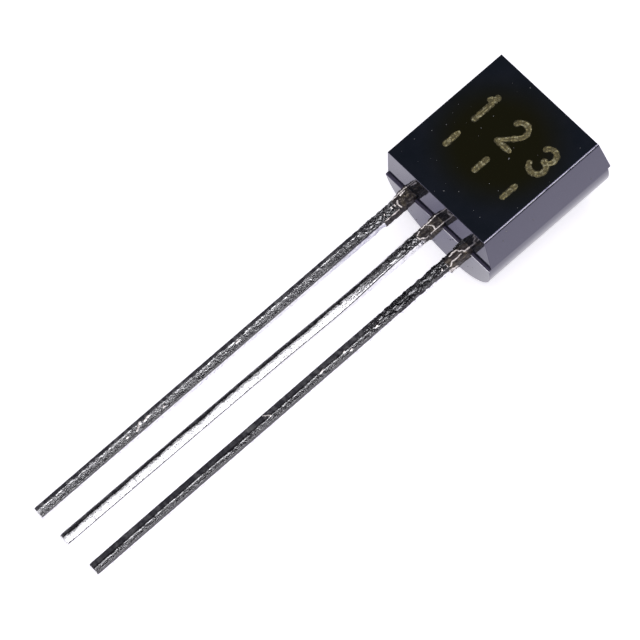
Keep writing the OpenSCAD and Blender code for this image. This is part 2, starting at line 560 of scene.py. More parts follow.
def bodyShell():
    plan = bodyPlan
    halfWidth, height, shift = plan["halfWidth"], plan["height"], plan["shift"]
    inset = height / 2 - plan["flatHalfHeight"]
    shell = bmesh.new()
    flat = [shell.verts.new((x * plan["flatHalfWidth"], y, plan["frontDepth"]))
            for x, y in ((-1, inset), (1, inset), (1, height - inset), (-1, height - inset))]
    frontNear = [shell.verts.new((x * halfWidth, 0, 0)) for x in (-1, 1)]
    frontFar = [shell.verts.new((x * halfWidth, height, 0)) for x in (1, -1)]
    rearNear, rearFar = [], []
    for x, z in backArc():
        drop = plan["rearDrop"] * -z / plan["rearDepth"]
        rearNear.append(shell.verts.new((x, drop - shift, z)))
        rearFar.append(shell.verts.new((x, height - shift - drop, z)))
    faces = [
        flat,
        (frontNear[0], frontNear[1], flat[1], flat[0]),
        (frontFar[0], frontFar[1], flat[3], flat[2]),
        (frontNear[1], rearFar[-1], frontFar[0], flat[2], flat[1]),
        (frontFar[1], rearFar[0], frontNear[0], flat[0], flat[3]),
        (rearNear[0], rearNear[-1], frontNear[1], frontNear[0]),
        (rearFar[-1], rearFar[0], frontFar[1], frontFar[0]),
        rearNear,
        rearFar[::-1],
    ]
    strips = [[rearNear[step], rearFar[step], rearFar[step + 1], rearNear[step + 1]]
              for step in range(body["backSteps"])]
    strips[0].insert(1, frontNear[0])
    strips[-1].insert(3, frontNear[1])
    for face in faces + strips:
        shell.faces.new(face)
    bmesh.ops.recalc_face_normals(shell, faces=shell.faces)
    return shell, flat


def roundingOf(edge, flat):
    points = [vertex.co for vertex in edge.verts]
    if all(vertex in flat for vertex in edge.verts):
        return "wornRound" if all(point.x > 0 for point in points) else "flatRound"
    onLedge = all(point.z == 0 and point.y < 0 for point in points)
    return "ledgeRound" if onLedge else "endRound"


def roundedBody():
    # the bevel is as wide as the widest rounding, and each edge's weight brings it down to its own
    shell, flat = bodyShell()
    weights = shell.edges.layers.float.new("bevel_weight_edge")
    for edge in shell.edges:
        angle = edge.calc_face_angle_signed(0)
        if angle > body["sharpFrom"]:
            edge[weights] = body[roundingOf(edge, flat)] / body["wornRound"]
        edge.smooth = angle > -body["sharpFrom"]
    for face in shell.faces:
        face.smooth = True
    mesh = bpy.data.meshes.new("bodyShell")
    shell.to_mesh(mesh)
    shell.free()
    carrier = newObject("bodyCarrier", mesh)
    bevel = carrier.modifiers.new("edgeRound", "BEVEL")
    bevel.limit_method = "WEIGHT"
    bevel.width = body["wornRound"]
    bevel.segments = body["bevelSteps"]
    even = carrier.modifiers.new("evenShade", "WEIGHTED_NORMAL")
    even.keep_sharp = True
    return takeMesh(carrier)


def makeBody(material):
    # the ledge where the mould halves met is matt and painted with a dull violet reflection; its rim and the
    # flat's right edge get a painted pale highlight
    mesh = roundedBody()
    reach = body["edgeReach"]
    least, most = body["wornFacing"]
    ledge = mesh.attributes.new("ledge", "FLOAT", "FACE")
    rubbed = mesh.attributes.new("rubbed", "FLOAT", "CORNER")
    for face in mesh.polygons:
        spot, up = face.center, face.normal.z
        level = abs(spot.z) < reach and spot.y < 0
        onRim = level and spot.y < reach - bodyPlan["shift"] and up < body["rimBelow"]
        onHighlightEdge = spot.x > 0 and spot.z > bodyPlan["frontDepth"] - reach and least < up < most
        ledge.data[face.index].value = float(level and not onRim)
        # a painted highlight: full on the ledge's rim, partial on the flat's right edge
        wear = 1.0 if onRim else body["edgeWear"] if onHighlightEdge else 0.0
        for corner in face.loop_indices:
            onRight = mesh.vertices[mesh.loops[corner].vertex_index].co.x > 0
            rubbed.data[corner].value = onRight * wear
    return finishPiece("moldedBody", mesh, material)


# Leads: one section swept along each lead's line, then shouldered, ridged, dented and scarred

leadShape = {
    "rootSpacing": 0.013,
    "rootReach": 1.3,
    "ringSpacing": 0.04,
    "insideBody": 0.12,
    "weldWithin": 0.0001,
    "tipReach": 0.2,
    "bow": 0.0,
    "bowCentre": 3.5,
    "bowReach": 2.5,
    "startRoll": math.radians(3),
    "rollFrom": 2.2,
    "rollTo": 4.2,
    "dome": 0.45,
    "domeSweep": 22,
    "cornerShare": 1.5,
    "sectionSteps": {"corner": 4, "flat": 20, "dome": 14, "left": 8, "bottom": 5, "wall": 12},
    "leftRound": 0.05,
    "rightRound": 0.008,
    "bottomRound": 0.08,
    "leftGrowth": 0.05,
    "leftSlope": 0.05,
    "rightGrowth": 0.05,
    "rightSlope": 0.05,
    "tipPinch": 0.06,
    "pinchReach": 0.07,
    "ridgePlace": -0.06,
    "ridgeWander": 0.14,
    "ridgeWidth": 0.035,
    "ridgeHeight": 0.010,
    "wanderSize": 3.0,
    "wanderStretch": (1, 0.3, 1),
    "breaks": {"scale": 5.0, "low": 0.36, "high": 0.52},
    "breakSeed": 4.0,
    "lumpiness": 11.0,
    "lumpyFade": 1.5,
    "lumpySwell": 2.0,
    "swellSize": 1.3,
    "dentSize": 6.0,
    "dentDepth": 0.010,
    "dentSeed": 9.0,
    "dentNoise": {"roughness": 0.55, "middle": 0.55},
    "roughSize": 18.0,
    "roughDepth": 0.008,
    "roughSeed": 14.0,
    "roughNoise": {"detail": 2.0, "roughness": 0.5},
    "roughLump": 0.5,
    "scarShake": 0.05,
    "shakeSize": 14.0,
    "lipWidth": 0.020,
    "lipHeight": 0.018,
}
# where stain, painted shade, tarnish and grain start, and how far they take to fade out
leadLooks = {
    "ridgeFrom": 0.10,
    "topFrom": 0.12,
    "sideSkin": 0.004,
    "cutFrom": 0.02,
    "grainFade": (-0.01, 0.02),
    "stainRagged": 0.5,
    "stainPatch": 7.0,
    "stainSeed": 2.0,
    "stainFade": 0.06,
    "tarnishLeft": -1.0,
    "tarnishFade": 0.02,
    "tarnishWall": 1.5,
    "edgeFade": 0.03,
    "edgeShare": 0.72,
    "smudge": 0.0,
    "smudgeAside": 0.03,
    "smudgeWidth": 0.075,
}
# what differs from lead to lead; a scar runs over the unrolled skin: (across, along) from the body
leads = {
    "collector_lead": {
        "endRoll": math.radians(-1), "leftShoulder": 0.62, "leftSlope": 0.45, "leftGrowth": 0.09,
        "rightShoulder": 1.24, "stainReach": 0.62, "stainLeft": -1.0, "lumpyReach": 2.2,
        "tarnishRight": 0.08, "tarnishDepth": 0.09, "crust": 0.90, "seed": 3.0,
        "scars": [
            [(-0.22, -0.10), (-0.21, 0.17), (-0.19, 0.57)],
            [(-0.02, 0.49), (0.07, 0.56), (0.16, 0.56), (0.25, 0.53)],
            [(0.25, 0.66), (0.24, 1.20)],
            [(-0.14, 0.12), (-0.12, 0.30)],
            [(0.02, 0.64), (0.05, 0.65)], [(0.01, 0.75), (0.05, 0.76)], [(0.05, 1.06), (0.07, 1.08)],
            [(-0.05, 10.66), (0.11, 10.92)], [(-0.02, 10.35), (0.02, 10.55)], [(0.06, 9.82), (0.10, 9.85)],
            [(0.06, 11.24), (0.08, 11.28)], [(0.03, 6.82), (0.06, 6.95)],
        ],
    },
    "base_lead": {
        "endRoll": math.radians(-13), "rollTo": 4.5, "bow": 0.05, "dome": 0.3, "leftRound": 0.15,
        "rightRound": 0.035, "leftShoulder": 0.3, "rightShoulder": 0.6, "stainReach": 0.80,
        "stainLeft": -0.4, "lumpyReach": 2.1, "smudge": 1.0, "tarnishLeft": -0.165,
        "tarnishRight": 0.0, "tarnishDepth": 0.05, "crust": 0.95, "seed": 8.0,
        "scars": [
            [(-0.13, 0.0), (-0.11, 0.60)],
            [(0.26, 0.0), (0.25, 0.50)],
            [(-0.06, 0.41), (0.01, 0.34), (0.07, 0.30), (0.13, 0.29), (0.19, 0.32)],
            [(0.04, 0.88), (0.15, 0.85), (0.20, 0.76), (0.28, 0.71), (0.30, 0.60)],
            [(-0.02, 0.83), (-0.08, 0.70)],
        ],
    },
    "emitter_lead": {
        "endRoll": 0.0, "leftShoulder": 0.4, "rightShoulder": 0.9, "ridgePlace": 0.035,
        "stainReach": 0.8, "stainLeft": -0.10, "lumpyReach": 4.0, "tarnishRight": 0.18,
        "tarnishDepth": 0.15, "crust": 1.02, "seed": 13.0,
        "scars": [
            [(-0.08, 0.62), (-0.11, 0.46), (-0.08, 0.33), (0.02, 0.31), (0.06, 0.22), (0.13, 0.20),
             (0.13, 0.0)],
            [(0.20, 0.79), (0.12, 0.68), (0.14, 0.45), (0.12, 0.33)],
            [(0.37, 0.90), (0.40, 0.63)],
            [(0.45, 0.88), (0.48, 0.58)],
            [(0.11, 0.87), (0.14, 0.88)], [(0.10, 1.06), (0.13, 1.08)],
            [(-0.14, 7.96), (0.05, 7.78)], [(0.03, 4.88), (0.05, 4.92)], [(0.12, 4.66), (0.14, 4.72)],
            [(0.03, 5.72), (0.06, 5.84)], [(0.09, 3.62), (0.11, 3.65)],
        ],
    },
}


def leadPlan(nodeName):
    x, y, z = straightPoints(nodeName).T
    tip = y < y.min() + leadShape["tipReach"]
    root = abs(y) < near
    return {
        "length": -y.min(),
        "rootX": (x[root].max() + x[root].min()) / 2,
        "tipX": (x[tip].max() + x[tip].min()) / 2,
        "halfWidth": (x[tip].max() - x[tip].min()) / 2,
        "halfThickness": (z[tip].max() - z[tip].min()) / 2,
    }


def leadSection(lead):
    # counter-clockwise from the right edge; the top is flat on the right and domed on the left
    side, top = lead["halfWidth"], lead["halfThickness"]
    right, left, bottom, dome = (lead[key] for key in ("rightRound", "leftRound", "bottomRound", "dome"))
    steps = lead["sectionSteps"]
    domeEnd = 90 + lead["domeSweep"]
    sweep = math.radians(lead["domeSweep"])
    leftX = -side + left
    leftZ = top - dome * (1 - math.cos(sweep)) - left * math.cos(sweep)
    domeX = leftX + (dome - left) * math.sin(sweep)
    corner = lead["cornerShare"] * right
    points = arc((side - right, top - right), (right, right), 0, 90, steps["corner"])
    points += spread((side - corner, top), (domeX, top), steps["flat"])[:-1]
    points += arc((domeX, top - dome), (dome, dome), 90, domeEnd, steps["dome"])
    points += arc((leftX, leftZ), (left, left), domeEnd, 180, steps["left"])[1:]
    points += arc((-side + bottom, -top + bottom), (bottom, bottom), 180, 270, steps["bottom"])
    points += arc((side - bottom, -top + bottom), (bottom, bottom), 270, 360, steps["bottom"])
    points += spread((side, -top + bottom), (side, top - corner), steps["wall"])[1:]
    return points


def leadLine(lead):
    # close points near the body, where the scars are, and wider ones from there on
    stations = []
    y = lead["insideBody"]
    while y > -lead["length"]:
        stations.append(y)
        y -= lead["rootSpacing"] if y > -lead["rootReach"] else lead["ringSpacing"]
    line = []
    for y in stations + [-lead["length"]]:
        lean = (lead["tipX"] - lead["rootX"]) * max(0, -y) / lead["length"]
        bulge = lead["bow"] * math.exp(-((-y - lead["bowCentre"]) / lead["bowReach"]) ** 2) if y < 0 else 0
        line.append((lead["rootX"] + lean + bulge, y))
    return line


def capture(tree, shape, kind, value):
    node = addNode(tree, "GeometryNodeCaptureAttribute", Geometry=shape)
    node.capture_items.new(kind, "Kept")
    giveSocket(node.inputs["Kept"], value)
    return node.outputs["Geometry"], node.outputs["Kept"]


def sweepSection(tree, given):
    # each point of the skin keeps its place along the path and in the section
    position = addNode(tree, "GeometryNodeInputPosition").outputs[0]
    travelled = addNode(tree, "GeometryNodeSplineParameter").outputs["Length"]
    tilt = mapRange(travelled, given["Roll From"], given["Roll To"], given["Start Roll"],
                    given["End Roll"], smooth=True)
    upright = addNode(tree, "GeometryNodeSetCurveNormal", {"mode": "Z_UP"}, Curve=given["Path"])
    turned = addNode(tree, "GeometryNodeSetCurveTilt", Curve=upright, Tilt=tilt)
    pathY = addNode(tree, "ShaderNodeSeparateXYZ", Vector=position).outputs["Y"]
    path, along = capture(tree, turned, "FLOAT", times(pathY, -1.0))
    section = addNode(tree, "GeometryNodeObjectInfo", Object=given["Section"]).outputs["Geometry"]
    section, inSection = capture(tree, section, "VECTOR", position)
    halfTurn = addNode(tree, "GeometryNodeTransform", Geometry=section, Rotation=(0, 0, math.pi))
    swept = addNode(tree, "GeometryNodeCurveToMesh", Curve=path, Profile_Curve=halfTurn, Fill_Caps=True)
    parts = addNode(tree, "ShaderNodeSeparateXYZ", Vector=inSection).outputs
    return swept, {"place": position, "along": along, "across": parts["X"], "up": parts["Y"]}


def shoulderShift(tree, given, skin):
    # a shoulder on each side where the dam bar was cut, and the pinched tip
    across = skin["across"]
    onRight = above(across, 0.0)
    widening = 0.0
    for side, chosen in (("Left", minus(1.0, onRight)), ("Right", onRight)):
        reach = given[side + " Shoulder"]
        rampEnd = minus(reach, given[side + " Slope"])
        grown = mapRange(skin["along"], reach, rampEnd, smooth=True)
        widening = plus(times(grown, given[side + " Growth"], chosen), widening)
    outwards = times(widening, calculate("DIVIDE", across, given["Half Width"]))
    pinchFrom = minus(given["Length"], leadShape["pinchReach"])
    pinch = times(mapRange(skin["along"], pinchFrom, given["Length"]), given["Tip Pinch"])
    skin.update(onRight=onRight, widening=widening, outwards=outwards)
    return addNode(tree, "ShaderNodeCombineXYZ", X=plus(outwards, times(across, pinch, -1.0)),
                   Z=times(skin["up"], pinch, -1.0))


def ridgeLift(given, skin):
    # a ridge that wanders and breaks off along the top, past the lumpy stretch near the body
    place, seed, reach, shape = skin["place"], given["Seed"], given["Lumpy Reach"], leadShape
    swell = noise(place, shape["swellSize"], seed=seed)
    swell = calculate("MULTIPLY_ADD", swell, shape["lumpySwell"], skin["along"])
    lumpy = mapRange(swell, plus(reach, shape["lumpyFade"]), reach, smooth=True)
    stretched = vectorMath("MULTIPLY", place, shape["wanderStretch"])
    wander = swing(stretched, shape["wanderSize"], seed=seed)
    middle = calculate("MULTIPLY_ADD", wander, shape["ridgeWander"], given["Ridge Place"])
    skin.update(lumpy=lumpy, middle=middle)
    ridge = bell(minus(skin["across"], middle), given["Ridge Width"])
    broken = mottle(place, **shape["breaks"], seed=plus(seed, shape["breakSeed"]))
    onTop = above(skin["up"], leadLooks["ridgeFrom"])
    return times(ridge, given["Ridge Height"], broken, onTop, minus(1.0, lumpy))


def dentLift(given, skin):
    # shallow dents and a finer roughness all round, deeper on the lumpy stretch
    place, lumpy, lumpiness, shape = skin["place"], skin["lumpy"], given["Lumpiness"], leadShape
    seed = plus(given["Seed"], shape["dentSeed"])
    dents = swing(place, given["Dent Size"], seed=seed, **shape["dentNoise"])
    dents = times(dents, given["Dent Depth"], calculate("MULTIPLY_ADD", lumpy, lumpiness, 1.0))
    seed = plus(given["Seed"], shape["roughSeed"])
    rough = swing(place, given["Rough Size"], seed=seed, **shape["roughNoise"])
    rough = times(rough, given["Rough Depth"])
    coarser = plus(times(lumpy, lumpiness, shape["roughLump"]), 1.0)
    return calculate("MULTIPLY_ADD", rough, coarser, dents)


def scarLips(tree, given, skin):
    # lips along the scars, which are drawn on the skin of the lead rolled out flat
    down = times(minus(given["Half Thickness"], skin["up"]), calculate("SIGN", skin["across"]))
    skin["x"] = plus(skin["across"], skin["outwards"], down)
    rolledOut = addNode(tree, "ShaderNodeCombineXYZ", X=skin["x"], Y=skin["along"])
    shake = leadShape["scarShake"]
    jitter = addNode(tree, "ShaderNodeTexNoise", Vector=skin["place"], Scale=leadShape["shakeSize"])
    shaken = vectorMath("MULTIPLY_ADD", jitter.outputs["Color"], (shake, shake, 0), rolledOut)
    shaken = vectorMath("SUBTRACT", shaken, (shake / 2, shake / 2, 0))
    lines = addNode(tree, "GeometryNodeObjectInfo", Object=given["Scars"]).outputs["Geometry"]
    wires = addNode(tree, "GeometryNodeCurveToMesh", Curve=lines)
    nearest = addNode(tree, "GeometryNodeProximity", {"target_element": "EDGES"}, {0: wires},
                      Sample_Position=shaken)
    return bell(nearest.outputs["Distance"], given["Lip Width"])


def grainOn(skin, onTop):
    least, most = leadLooks["grainFade"]
    fromRidge = mapRange(skin["across"], plus(skin["middle"], least), plus(skin["middle"], most))
    return times(highest(fromRidge, skin["lumpy"]), onTop)


def stainOn(given, skin, onWall):
    # brown as far as the dam bar's heat reached, and on the cut faces of the shoulders
    reach, looks = given["Stain Reach"], leadLooks
    ragged = swing(skin["place"], looks["stainPatch"], seed=looks["stainSeed"])
    ragged = calculate("MULTIPLY_ADD", ragged, looks["stainRagged"], skin["along"])
    stained = mapRange(ragged, plus(reach, looks["stainFade"]), reach)
    stained = times(stained, above(skin["x"], given["Stain Left"]))
    return highest(stained, times(above(skin["widening"], looks["cutFrom"]), onWall))


def shadeAndTarnishOn(given, skin, onWall, onTop):
    # painted shade down the right wall, along the top's right edge and on the left edge, and dark too on the
    # lumpy stretch and beside the ridge
    across, looks, depth = skin["across"], leadLooks, given["Tarnish Depth"]
    fromTop = minus(given["Half Thickness"], skin["up"])
    onRightWall = times(times(onWall, skin["onRight"]), looks["tarnishWall"])
    wall = times(mapRange(fromTop, plus(depth, looks["tarnishFade"]), depth), onRightWall)
    edgeFrom = minus(given["Half Width"], given["Tarnish Right"])
    edge = mapRange(across, minus(edgeFrom, looks["edgeFade"]), edgeFrom)
    edge = times(edge, looks["edgeShare"], onTop)
    crust = times(skin["lumpy"], given["Crust"], onTop)
    leftEdge = calculate("LESS_THAN", across, given["Tarnish Left"])
    fromBand = minus(across, plus(skin["middle"], looks["smudgeAside"]))
    smudge = times(bell(fromBand, looks["smudgeWidth"]), given["Smudge"], onTop)
    return highest(wall, edge, crust, leftEdge, smudge)


def makeLeadTree():
    inputs = {"Path": "Geometry", "Section": "Object", "Scars": "Object"}
    numbers = [
        "Start Roll", "End Roll", "Roll From", "Roll To", "Length", "Half Width", "Half Thickness",
        "Left Shoulder", "Left Slope", "Left Growth", "Right Shoulder", "Right Slope", "Right Growth",
        "Tip Pinch", "Ridge Place", "Ridge Width", "Ridge Height", "Dent Size", "Dent Depth",
        "Rough Size", "Rough Depth", "Lumpy Reach", "Lumpiness", "Lip Width", "Lip Height",
        "Stain Reach", "Stain Left", "Tarnish Depth", "Tarnish Left", "Tarnish Right", "Crust",
        "Smudge", "Seed",
    ]
    tree, given, result = startShapeGroup("leadSweep", inputs, numbers)
    swept, skin = sweepSection(tree, given)
    shifted = addNode(tree, "GeometryNodeSetPosition", Geometry=swept,
                      Offset=shoulderShift(tree, given, skin))
    lift = plus(ridgeLift(given, skin), dentLift(given, skin))
    lips = scarLips(tree, given, skin)
    lift = plus(lift, times(lips, given["Lip Height"]))
    outward = scaled(addNode(tree, "GeometryNodeInputNormal"), lift)
    skinned = addNode(tree, "GeometryNodeSetPosition", Geometry=shifted, Offset=outward)
    onTop = above(skin["up"], leadLooks["topFrom"])
    sideFrom = minus(given["Half Width"], leadLooks["sideSkin"])
    onWall = above(calculate("ABSOLUTE", skin["across"]), sideFrom)
    looks = {
        "stained": stainOn(given, skin, onWall),
        "grainy": grainOn(skin, onTop),
        "lips": lips,
        "tarnished": shadeAndTarnishOn(given, skin, onWall, onTop),
    }
    for name, value in looks.items():
        skinned = addNode(tree, "GeometryNodeStoreNamedAttribute", {"data_type": "FLOAT", "domain": "POINT"},
                          Geometry=skinned, Name=name, Value=value)
    smooth = addNode(tree, "GeometryNodeSetShadeSmooth", Geometry=skinned)
    return endShapeGroup(tree, smooth, given, result)


def innerPlates(nodeName):
    # the head of the lead inside the body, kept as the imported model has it
    head = bmesh.new()
    head.from_mesh(frame["nodes"][nodeName].data)
    bmesh.ops.remove_doubles(head, verts=head.verts, dist=leadShape["weldWithin"] * mm)
    bmesh.ops.transform(head, matrix=laidDown.inverted(), verts=head.verts)
    everything = head.verts[:] + head.edges[:] + head.faces[:]
    cut = bmesh.ops.bisect_plane(head, geom=everything, plane_co=(0, near, 0), plane_no=(0, 1, 0),
                                 clear_inner=True)
    rim = [part for part in cut["geom_cut"] if isinstance(part, bmesh.types.BMEdge)]
    bmesh.ops.edgeloop_fill(head, edges=rim)
    mesh = bpy.data.meshes.new("innerPlates")
    head.to_mesh(mesh)
    head.free()
    return mesh


def makeLead(nodeName, tree, material):
    lead = {**leadShape, **leadLooks, **leads[nodeName], **leadPlan(nodeName), "material": material}
    path = curveObject("leadPath", [leadLine(lead)])
    lead["section"] = curveObject("leadSection", [leadSection(lead)], closed=True)
    lead["scars"] = curveObject("leadScars", lead["scars"])
    skin = bakeNodes(path, tree, lead)
    for key in ("section", "scars"):
        bpy.data.objects.remove(lead[key])
    whole = joinMeshes([skin, innerPlates(nodeName)], outwards=True)
    return finishPiece(camelName(nodeName), whole, material)


# Laser marking: pin numbers over the leads, and a tick towards each lead

marking = {
    "digitSize": (0.56, 0.95),
    "digitRow": 3.14,
    "tickRow": (1.52, 2.02),
    "offCentre": 0.14,
    "stroke": 0.135,
    "turnSteps": 14,
    "capSteps": 6,
    "dotSpread": (0.75, 1.25),
    "dotSeed": 10.0,
    "burnSeed": 20.0,
}
# what the laser leaves: a yellowed edge, a dull burnt band and bright grains along its border
laserPasses = {
    "halo": {"outlined": False, "spacing": 0.03, "dotSize": 0.095, "jitter": 0.004, "relief": 0.0012,
             "burnLow": 0.0, "burnHigh": 0.3, "seed": 7},
    "band": {"outlined": False, "spacing": 0.022, "dotSize": 0.06, "jitter": 0.006, "relief": 0.0025,
             "burnLow": 0.3, "burnHigh": 0.5, "seed": 8},
    "grains": {"outlined": True, "spacing": 0.034, "dotSize": 0.021, "jitter": 0.009, "relief": 0.005,
               "burnLow": 0.5, "burnHigh": 1.0, "seed": 9},
}


def digitStrokes():
    # in a box one unit wide and one high
    steps = marking["turnSteps"]
    one = [[(0.22, 0.78), (0.5, 1.0), (0.5, 0.0)]]
    two = [arc((0.5, 0.72), (0.46, 0.28), 165, -35, steps) + [(0.04, 0.0), (0.98, 0.0)]]
    three = [arc((0.46, 0.745), (0.44, 0.255), 160, -75, steps),
             arc((0.46, 0.265), (0.5, 0.265), 80, -160, steps)]
    return one, two, three


def markingLines():
    # each pin's number over its lead, and a tick below it
    wide, tall = marking["digitSize"]
    row = marking["digitRow"]
    low, high = marking["tickRow"]
    lines = []
    for digit, nodeName in zip(digitStrokes(), leads):
        middle = leadPlan(nodeName)["rootX"] + marking["offCentre"]
        for stroke in digit:
            lines.append([(middle + (x - 0.5) * wide, row + (y - 0.5) * tall) for x, y in stroke])
        lines.append([(middle, high), (middle, low)])
    return lines


def outlineOf(line, reach):
    # both sides of a stroke and its two round ends, as one closed line
    points = [Vector(point) for point in line]
    ways = [(after - before).normalized() for before, after in zip(points, points[1:])]
    turns = [ways[0]] + [(a + b).normalized() for a, b in zip(ways, ways[1:])] + [ways[-1]]
    sides = [Vector((-turn.y, turn.x)) * reach for turn in turns]
    startCap, endCap = [], []
    for step in range(1, marking["capSteps"]):
        turn = math.radians(180 * step / marking["capSteps"])
        startCap.append(points[0] - sides[0] * math.cos(turn) - turns[0] * reach * math.sin(turn))
        endCap.append(points[-1] + sides[-1] * math.cos(turn) + turns[-1] * reach * math.sin(turn))
    left = [point + side for point, side in zip(points, sides)]
    right = [point - side for point, side in zip(points, sides)]
    return left + endCap + right[::-1] + startCap


def makeMarkTree():
    numbers = ["Spacing", "Dot Size", "Jitter", "Relief", "Burn Low", "Burn High"]
    tree, given, result = startShapeGroup("laserDots", {"Strokes": "Geometry", "Seed": "Int"}, numbers)
    seed = given["Seed"]
    points = addNode(tree, "GeometryNodeCurveToPoints", {"mode": "LENGTH"}, Curve=given["Strokes"],
                     Length=given["Spacing"])
    shake = addNode(tree, "FunctionNodeRandomValue", {"data_type": "FLOAT_VECTOR"},
                    {0: (-1, -1, 0), 1: (1, 1, 0)}, Seed=seed)
    moved = addNode(tree, "GeometryNodeSetPosition", Geometry=points,
                    Offset=scaled(shake, given["Jitter"]))
    size = randomBetween(*marking["dotSpread"], plus(seed, marking["dotSeed"]))
    flatness = calculate("DIVIDE", given["Relief"], given["Dot Size"])
    scale = addNode(tree, "ShaderNodeCombineXYZ", X=size, Y=size, Z=flatness)
    dot = addNode(tree, "GeometryNodeMeshIcoSphere", Radius=given["Dot Size"], Subdivisions=2)
    dots = addNode(tree, "GeometryNodeInstanceOnPoints", Points=moved, Instance=dot, Scale=scale)
    burn = randomBetween(given["Burn Low"], given["Burn High"], plus(seed, marking["burnSeed"]))
    kept = addNode(tree, "GeometryNodeStoreNamedAttribute", {"data_type": "FLOAT", "domain": "INSTANCE"},
                   Geometry=dots, Name="burn", Value=burn)
    return endShapeGroup(tree, kept, given, result)


def makeMarking(material):
    lines = markingLines()
    tree = makeMarkTree()
    meshes = []
    for laserPass in laserPasses.values():
        outlined = laserPass["outlined"]
        reach = (marking["stroke"] - laserPass["dotSize"]) / 2
        drawn = [outlineOf(line, reach) for line in lines] if outlined else lines
        carrier = curveObject("laserStrokes", drawn, outlined)
        meshes.append(bakeNodes(carrier, tree, {**laserPass, "material": material}))
    mesh = joinMeshes(meshes)
    mesh.transform(Matrix.Translation((0, 0, bodyPlan["frontDepth"])))
    return finishPiece("laserMarking", mesh, material)


# Dust: pale specks that have settled on the body

dust = {
    "density": 1.9,
    "apart": 0.2,
    "smallest": 0.006,
    "largest": 0.024,
    "smallShare": 2.5,
    "lengthSpread": (0.8, 1.7),
    "lengthSeed": 3.0,
    "flatness": 0.5,
    "seed": 12,
}
dustLook = {"light": (0.22, 0.215, 0.23, 1), "dark": (0.09, 0.088, 0.095, 1), "metallic": 0.0,
            "roughness": (0.7, 0.9), "coarse": 20000.0, "seed": 31.0}


def makeDustTree():
    numbers = ["Density", "Apart", "Smallest", "Largest", "Flatness"]
    tree, given, result = startShapeGroup("settledDust", {"Surface": "Geometry", "Seed": "Int"}, numbers)
    seed = given["Seed"]
    spots = addNode(tree, "GeometryNodeDistributePointsOnFaces", {"distribute_method": "POISSON"},
                    Mesh=given["Surface"], Distance_Min=given["Apart"], Density_Max=given["Density"],
                    Seed=seed)
    share = calculate("POWER", randomBetween(0.0, 1.0, seed), dust["smallShare"])
    size = between(share, given["Smallest"], given["Largest"])
    length = randomBetween(*dust["lengthSpread"], plus(seed, dust["lengthSeed"]))
    scale = addNode(tree, "ShaderNodeCombineXYZ", X=times(size, length), Y=size,
                    Z=times(size, given["Flatness"]))
    speck = addNode(tree, "GeometryNodeMeshIcoSphere", Radius=1.0, Subdivisions=2)
    specks = addNode(tree, "GeometryNodeInstanceOnPoints", Points=spots, Instance=speck,
                     Rotation=spots.outputs["Rotation"], Scale=scale)
    return endShapeGroup(tree, specks, given, result)


def makeDust(surface):
    material = makePlain("paleDust", **dustLook)
    mesh = surface.data.copy()
    mesh.transform(laidDown.inverted())
    specks = bakeNodes(newObject("dustCarrier", mesh), makeDustTree(), {**dust, "material": material})
    return finishPiece("settledDust", specks, material)


print("building pieces")
moldedBody = makeBody(makeEpoxy())
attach(moldedBody, "root")
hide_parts("molded_body")
print("body made")

tin = makePlating()
leadTree = makeLeadTree()
for nodeName in leads:
    lead = makeLead(nodeName, leadTree, tin)
    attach(lead, "root")
    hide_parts(nodeName)
print("leads made")

mark = makeMarking(makeBurnt())
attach(mark, "root")
specks = makeDust(moldedBody)
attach(specks, "root")
print("marking and dust made")

# The pieces sealed in the body keep their own shapes and get their own finishes

sealedLooks = {
    "siliconFace": {"light": (0.20, 0.22, 0.27, 1), "dark": (0.12, 0.13, 0.17, 1), "metallic": 0.8,
                    "roughness": (0.15, 0.3), "coarse": 9000.0, "seed": 21.0},
    "silverPaste": {"light": (0.62, 0.61, 0.58, 1), "dark": (0.42, 0.41, 0.38, 1), "metallic": 0.9,
                    "roughness": (0.4, 0.6), "coarse": 12000.0, "seed": 22.0},
    "goldWire": {"light": (0.90, 0.66, 0.25, 1), "dark": (0.74, 0.50, 0.16, 1), "metallic": 1.0,
                 "roughness": (0.2, 0.35), "coarse": 16000.0, "seed": 23.0},
}
sealedPieces = {"silicon_die": "siliconFace", "die_attach": "silverPaste",
                "base_bond_wire": "goldWire", "emitter_bond_wire": "goldWire"}
finishes = {name: makePlain(name, **look) for name, look in sealedLooks.items()}
for nodeName, finish in sealedPieces.items():
    materials = frame["nodes"][nodeName].data.materials
    materials.clear()
    materials.append(finishes[finish])
print("sealed pieces finished")

# Floor, world and lamp

studio = {
    "floorSize": 1.2,
    "floorColour": (0.79, 0.775, 0.83, 1),
    "glowColour": (0.98, 0.965, 1.0, 1),
    "floorGlow": 0.70,
    "nookCentre": (-0.9, 3.8, 0.0),
    "nookReach": 2.8,
    "nookGlow": (0.27, 0.25, 0.42, 1),
    "nearRadius": 0.03,
    "farRadius": 0.09,
    "white": (1, 1, 1, 1),
    "horizonTop": 0.16,
    "darkFrom": 0.30,
    "horizonLean": 0.20,
    "darkSky": (0.030, 0.029, 0.036, 1),
    "boxWay": (0.29, -0.12, 0.94),
    "boxDistance": 0.4,
    "boxSize": 0.36,
    "boxRadiance": 3.6,
}


